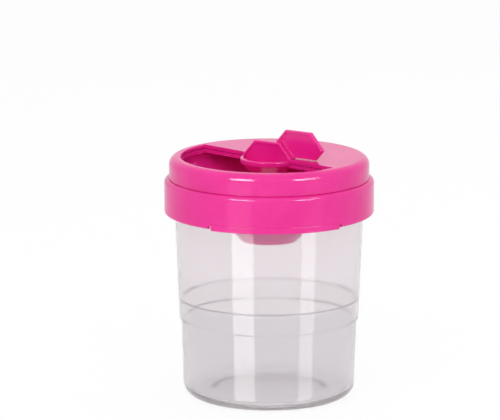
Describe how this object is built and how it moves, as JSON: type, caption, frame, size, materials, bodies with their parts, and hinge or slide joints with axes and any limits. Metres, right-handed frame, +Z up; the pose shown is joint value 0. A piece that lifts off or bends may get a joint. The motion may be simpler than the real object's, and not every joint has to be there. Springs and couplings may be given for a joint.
{
  "type": "brush washer with lid",
  "caption": "Clear stepped cup with a press-fit two-tier lid, an open funnel inside and a half-disc shutter turned by an upright honeycomb grip.",
  "frame": {"origin": "centre of the cup's base, on the surface it stands on", "axes": "+Z up along the cup's axis, +X along the straight edge of the deck, -Y towards the half-moon opening"},
  "size_m": [0.0882, 0.0878, 0.1137],
  "materials": {
    "clear_plastic": "clear glossy polypropylene with a faint haze",
    "pink_plastic": "glossy moulded pink polypropylene"
  },
  "bodies": {
    "cup": {"cup": "clear_plastic"},
    "lid": {"collar": "pink_plastic", "cap": "pink_plastic", "funnel": "pink_plastic"},
    "shutter": {"shutter": "pink_plastic", "grip": "pink_plastic"}
  },
  "joints": [
    {"name": "lid_lift", "type": "slide", "parent": "cup", "child": "lid", "axis": [0, 0, 1], "range_m": [0, 0.03]},
    {"name": "shutter_turn", "type": "hinge", "parent": "lid", "child": "shutter", "pos_m": [0, 0, 0.1], "axis": [0, 0, 1], "range_deg": [0, 180]}
  ]
}
